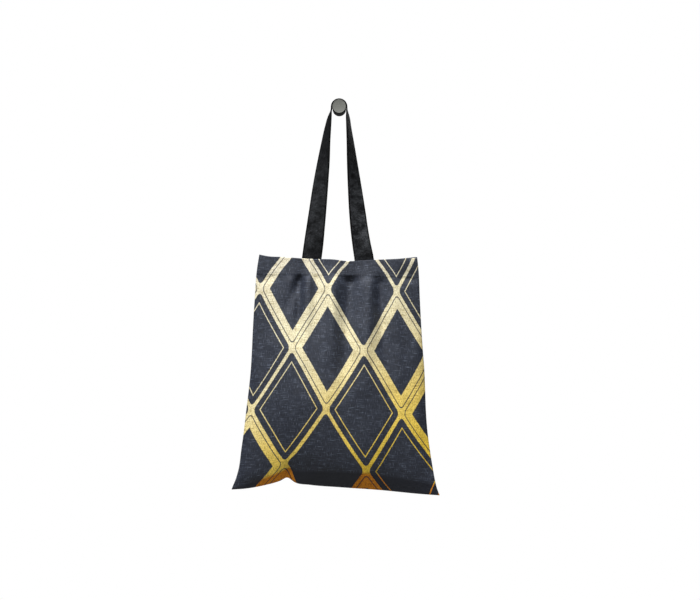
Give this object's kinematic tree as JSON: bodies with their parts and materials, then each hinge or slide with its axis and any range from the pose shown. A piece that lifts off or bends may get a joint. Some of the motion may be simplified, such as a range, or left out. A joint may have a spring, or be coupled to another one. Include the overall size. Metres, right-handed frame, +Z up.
{
  "type": "tote bag on wall peg",
  "caption": "Flat two-panel linen-weave tote bag hung by its pair of webbing handles over a round wall peg, hemmed at the mouth and gently puffed low down.",
  "frame": {"origin": "centre of the peg's flat back face, where it meets the wall", "axes": "+X to the right as seen from the room, +Y into the wall, +Z up; the printed front faces -Y"},
  "size_m": [0.3737, 0.0586, 0.7081],
  "materials": {
    "printed_linen": "matte",
    "black_webbing": "matte",
    "dark_coating": "satin"
  },
  "bodies": {
    "root": {"peg": "dark_coating", "front_panel": "printed_linen", "back_panel": "printed_linen", "front_handle": "black_webbing", "back_handle": "black_webbing"}
  },
  "joints": []
}
